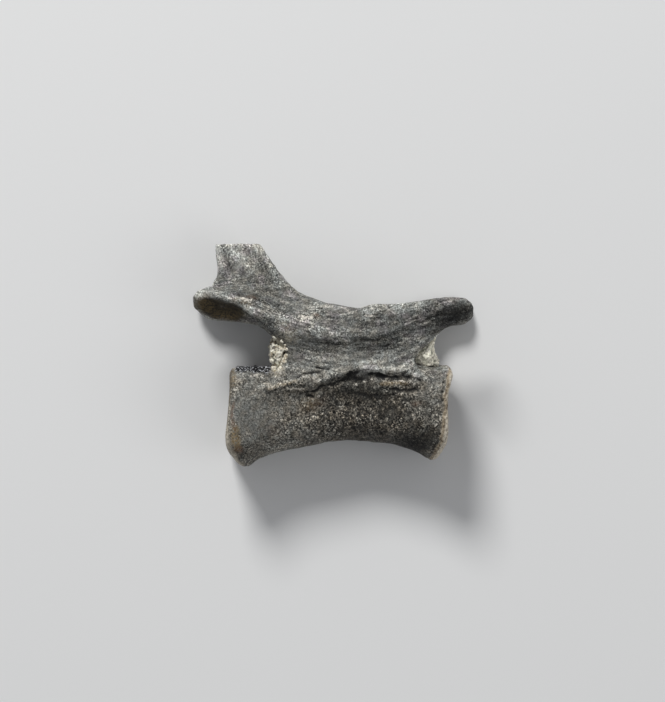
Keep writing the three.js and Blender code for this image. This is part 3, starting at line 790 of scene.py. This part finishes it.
def paintBone(piece, flat, normals, masks):
    # the masks are painted as they are, and the others are worked out here
    spots = spotsOn(flat, 1)
    flank = 1 - smoothStep(*painting["flankTop"], flat[:, 1])
    spine = smoothStep(*painting["spineFoot"], flat[:, 1])
    right = sideShare(flat, normals, 1)
    outer = np.maximum(right, sideShare(flat, normals, -1))
    for name, values in masks.items():
        paint(piece, name, values)
    # painted shade in hollows and valleys and painted light on crests, for the material to read
    for name in ("hollow", "valley"):
        reach, depth = painting[name]
        paint(piece, name, 0.5 + hollowness(piece, reach) / depth)
    # the bone's own tone together with painted light and shade
    paint(piece, "toneAndShading", painting["toneAndShading"] * factorOver(spots, toneAndShadingAreas) * cupTone(flat, normals))
    paint(piece, "coarse", painting["grain"] * factorOver(spots, grainAreas))
    # the facet's own brown and the painted shadow under its ridge
    paint(piece, "shade", strongest(spots, facetShade) * smoothStep(*painting["facetFrom"], right))
    paint(piece, "flank", flank)
    paint(piece, "fibrous", (1 - flank) * (1 - painting["plainSpine"] * spine))
    paint(piece, "pale", strongest(spots, paleMarks) * outer)
    paint(piece, "tan", strongest(spots, tanMarks) * outer)
    paint(piece, "rust", strongest(spots, rustMarks) * outer)
    paint(piece, "dust", strongest(spots, dustAreas) * outer)
    fibres = piece.data.attributes.new("fibre", "FLOAT_VECTOR", "POINT")
    fibres.data.foreach_set("vector", fibreCoordinates(flat).ravel())


def makeBone():
    piece = bareBone()
    flat, normals = numbersOf(piece, "co"), numbersOf(piece, "normal")
    carved, crackShade = carveMarks(flat, normals)
    shares, grooves, edges = rimShares(flat)
    carved -= ((grooves[0] + grooves[1]) * endFaces["grooveDepth"])[:, None] * normals
    carved, coat = addBeads(flat, normals, carved)
    moveTo(piece, carved)
    raised, pores = relief(numbersOf(piece, "co"), numbersOf(piece, "normal"))
    raised[:, 2] = np.maximum(raised[:, 2], 0)
    moveTo(piece, raised)
    lowRear = (1 - smoothStep(*endFaces["rearEdgeBelow"], flat[:, 1])) * endFaces["rearEdge"]
    # the crack mask is painted shade in the cracks, pits and pores
    paintBone(piece, flat, normals, {
        "crack": np.maximum(crackShade, pores * painting["pores"]), "gloss": coat,
        "rearRim": shares[0], "foreRim": shares[1],
        "rimLine": grooves[0] * endFaces["rearGroove"] + grooves[1],
        "rimEdge": edges[0] * lowRear + edges[1]})
    resize(piece, 1 / perMetre)
    return piece, raised


def boneGrain(start, places, coarse, flank):
    # the fine grain, the texture that it makes with the streaks of the fibres (about 0.5 all over),
    # the mottling, and the brightness that they give together, with painted shade in hollows and painted
    # light on crests
    drawnOut = start.node("ShaderNodeVectorMath", {"operation": "MULTIPLY"}, {
        0: start.read("fibre", output=1), 1: boneFinish["fibreStretch"]})
    streak = drawnOut.noise(1.0, 4, 0.65)
    bands = drawnOut.noise(2.6, 2, 0.6, seed=1)
    grain = places.noise(0.11, 3, 0.7, seed=1)
    speckle = 0.36 + flank * 0.16
    fine = places.noise(0.055, 2, 0.7, seed=2) * (1 - speckle) + places.cells(0.062, seed=2) * speckle
    clouds = places.noise(0.8, 3, 0.6, seed=3)
    mottle = places.noise(0.34, 3, 0.65, seed=11)
    patchy = places.noise(0.7, 3, 0.6, seed=12).between(0.38, 0.62)  # rough and smooth patches
    drawn = start.read("fibrous") * 0.36
    texture = grain * (0.45 - drawn) + streak * drawn + fine * 0.55
    bright = start.read("toneAndShading") * 2.14 * (texture * 2) ** (1.8 + coarse * (4.5 + patchy * 6))
    bright = bright * (0.5 + clouds) * (mottle * 2) ** (0.2 + coarse * flank * 2)
    bright = bright * (bands * 2.16) ** ((1 - flank) * 1.5)
    # painted shade in hollows and broad valleys, and painted light on crests
    bright = bright * (1.5 - start.read("hollow").between(0.1, 0.9)) * (1.6 - start.read("valley") * 1.2)
    return grain, texture, mottle, bright


def addStains(base, start, places, grain, texture):
    # the tan, rusty and pale marks, and the dust round the canal
    pale = start.read("pale")
    ragged = (pale * 0.4 + texture * 1.3).between(0.84, 1.18)  # the pale marks follow the grain
    dusty = places.noise(0.16, 3, 0.6, seed=7).between(0.42, 0.52)
    base = base.mix(boneColours["tan"], start.read("tan") * grain.between(0.35, 0.6) * 0.8)
    base = base.mix(boneColours["rust"], start.read("rust") * grain.between(0.3, 0.55) * 0.6)
    base = base.mix(boneColours["pale"], ragged * pale.between(0.05, 0.3))
    return base.mix(boneColours["dust"], start.read("dust") * dusty)


def addRims(base, start, places, grain):
    # the worn rims of the end faces, the dark lines inside them and their pale edges
    rimGrain = places.noise(0.14, 4, 0.75, seed=8)
    rim = start.colour(*boneColours["rimDark"]).mix(boneColours["rimPale"], rimGrain.between(0.40, 0.58))
    rim = rim.times(0.3 + grain * 1.4)
    base = base.mix(rim, start.read("foreRim") * rimGrain.between(0.32, 0.42))
    base = base.mix(rim.times(0.33), start.read("rearRim") * 0.85)
    base = base.mix(boneColours["rimLine"], start.read("rimLine") * rimGrain.between(0.5, 0.36) * 0.85)
    return base.mix(start.colour(*boneColours["rimEdge"]).times(0.3 + grain * 1.4),
                    start.read("rimEdge") * (0.3 + rimGrain.between(0.38, 0.54) * 0.6))


def boneMaterial():
    material, start, places = startMaterial("fossil_bone")
    toneAndShading, coarse, flank = start.read("toneAndShading"), start.read("coarse"), start.read("flank")
    gloss = start.read("gloss")
    grain, texture, mottle, bright = boneGrain(start, places, coarse, flank)

    warmth = places.noise(0.5, 3, 0.6, seed=4).between(0.35, 0.65) * 0.4 + coarse * flank * 0.75
    violet = places.noise(0.6, 2, 0.5, seed=5).between(0.48, 0.68) * (1 - flank) * 0.5
    base = start.colour(*boneColours["grey"]).mix(boneColours["warm"], warmth)
    base = base.mix(boneColours["violet"], violet).times(bright)
    # pale flecks, partly the bone's own specks and partly painted glints of its grains, more where it is
    # bright
    flecksAndGlints = places.noise(0.075, 3, 0.7, seed=6).between(0.60, 0.67) * mottle.between(0.44, 0.56)
    base = base.mix(boneColours["fleckAndGlint"], flecksAndGlints * (toneAndShading * 0.8 + coarse * 0.25))
    base = addStains(base, start, places, grain, texture)
    base = addRims(base, start, places, grain)
    # the facet: its own brown over painted shadow in near black under its ridge
    facet = start.colour(*boneColours["facetShadow"]).mix(
        boneColours["facetBrown"], texture.between(0.38, 0.62) * (0.35 + start.read("tan") * 0.65))
    base = base.mix(facet, start.read("shade"))
    # painted shade, near black, in the cracks, pits and pores
    base = base.mix(boneColours["crack"], start.read("crack").between(0.12, 0.75) * 0.93)
    # painted glints on the glossy black beads
    glint = places.noise(0.09, 2, 0.6, seed=9).between(0.52, 0.60)
    base = base.mix(start.colour(*boneColours["bead"]).mix(boneColours["glint"], glint * 0.85), gloss)

    height = texture * (0.6 + coarse * 1.2) + gloss * places.noise(0.14, 1, 0.5, seed=10) * 2
    return finishMaterial(material, {
        "Base Color": base, "Roughness": boneFinish["roughness"] - gloss * boneFinish["glossier"],
        "Specular IOR Level": boneFinish["specular"], "Coat Weight": gloss,
        "Coat Roughness": boneFinish["coatRoughness"], "Normal": height.bump(boneFinish["bump"])})


vertebra, bonePlaces = makeBone()
vertebra.data.materials.append(boneMaterial())
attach(vertebra, "root")
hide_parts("vertebra")
print("bone carved and painted")


# The sediment in the canal

sediment = {
    "voxel": 0.036, "grow": 0.14, "relief": ((0.13, 0.04), (0.5, 0.07)), "hollow": (3, 0.03),
    "grains": 900, "grainRadius": (0.03, 0.085), "grainShape": (0.5, 1.6), "seed": 11,
    "rearMouth": -2.2, "foreMouth": 3.9, "rearGrains": 1.2, "foreGrains": 0.7,  # where, and how large
    "spillAt": (-2.8, 0.1, 3.6), "spillReach": (0.5, 1.0, 1.0), "spillThin": 3,
    "roughness": 0.9, "specular": 0.3, "bump": 0.04,
}
sedimentShifts = {"front": ((5.2, 0.1), (0.8, 1.3), 0, (-0.2, 0))}  # centre, radii, turn and shift
sedimentColours = {"cream": (0.85, 0.81, 0.69), "green": (0.50, 0.51, 0.37), "brown": (0.30, 0.22, 0.13)}


def grownOut(piece):
    # the sediment's places once it is grown out to the bone all round, but no longer than it is
    places, normals = numbersOf(piece, "co"), numbersOf(piece, "normal")
    outward = normals * (0, 1, 1)
    outward /= np.maximum(np.linalg.norm(outward, axis=1), 0.3)[:, None]
    return shifted(places + outward * sediment["grow"], sedimentShifts)


def addGrains(piece, places, bonePlaces):
    # broken grains over both mouths, coarser at the rear, where some have spilled onto the bone
    draw = np.random.default_rng(sediment["seed"])
    fromSpill = np.linalg.norm((bonePlaces - sediment["spillAt"]) / sediment["spillReach"], axis=1)
    spilled = bonePlaces[fromSpill < 1][::sediment["spillThin"]]
    mouths = (places[:, 0] < sediment["rearMouth"]) | (places[:, 0] > sediment["foreMouth"])
    seats = np.vstack([places[mouths], spilled])
    bpy.ops.object.select_all(action="DESELECT")
    bpy.ops.mesh.primitive_ico_sphere_add(subdivisions=1, radius=1)
    grain = bpy.context.object
    grains = [grain]
    for _ in range(sediment["grains"] - 1):
        other = grain.copy()
        other.data = grain.data.copy()
        bpy.context.scene.collection.objects.link(other)
        grains.append(other)
    for one in grains:
        seat = draw.choice(seats)
        coarser = sediment["rearGrains"] if seat[0] < 0 else sediment["foreGrains"]
        size = draw.uniform(*sediment["grainRadius"]) * coarser
        one.location = seat
        one.scale = size * draw.uniform(*sediment["grainShape"], 3)
        one.rotation_euler = draw.uniform(0, math.pi, 3)
    bpy.ops.object.select_all(action="DESELECT")
    for one in grains + [piece]:
        one.select_set(True)
    bpy.context.view_layer.objects.active = piece
    bpy.ops.object.join()


def makeSediment(bonePlaces):
    piece = copyOfNode("canal_matrix", "canal_sediment")
    finishWith(piece, "SUBSURF", levels=1, render_levels=1)
    places = grownOut(piece)
    moveTo(piece, places)
    addGrains(piece, places, bonePlaces)
    finishWith(piece, "REMESH", mode="VOXEL", voxel_size=sediment["voxel"], use_smooth_shade=True)
    finishWith(piece, "SMOOTH", factor=0.5, iterations=1)
    places, normals = numbersOf(piece, "co"), numbersOf(piece, "normal")
    for step, (size, tall) in enumerate(sediment["relief"]):
        places = places + (lumps(places, size, seeds["sediment"] + step, 2) * tall)[:, None] * normals
    places[:, 2] = np.maximum(places[:, 2], 0)
    moveTo(piece, places)
    # painted shade in the sediment's hollows, for the material to read
    reach, depth = sediment["hollow"]
    paint(piece, "hollow", 0.5 + hollowness(piece, reach) / depth)
    paint(piece, "rear", 1 - smoothStep(-1, 1, places[:, 0]))
    resize(piece, 1 / perMetre)
    return piece


def sedimentMaterial():
    material, start, places = startMaterial("sediment")
    grain = places.noise(0.09, 4, 0.7)
    green = places.noise(0.4, 2, 0.5, seed=2).between(0.42, 0.66) * 0.5
    hollow, rear = start.read("hollow"), start.read("rear")
    brown = places.noise(0.2, 3, 0.6, seed=3).between(0.48, 0.60) * (0.15 + rear * 0.6)
    base = start.colour(*sedimentColours["cream"]).mix(sedimentColours["green"], green)
    base = base.mix(sedimentColours["brown"], brown)
    base = base.times((0.55 + grain.between(0.2, 0.8) * 0.9) * (1 - rear * 0.3))
    # painted shade in the hollows between grains
    base = base.times(1.4 - hollow.between(0.2, 0.9) * (0.9 + rear * 0.2))
    return finishMaterial(material, {
        "Base Color": base, "Roughness": sediment["roughness"], "Specular IOR Level": sediment["specular"],
        "Normal": grain.bump(sediment["bump"])})


canalSediment = makeSediment(bonePlaces)
canalSediment.data.materials.append(sedimentMaterial())
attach(canalSediment, "root")
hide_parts("canal_matrix")
print("sediment filled in:", len(canalSediment.data.polygons), "faces")
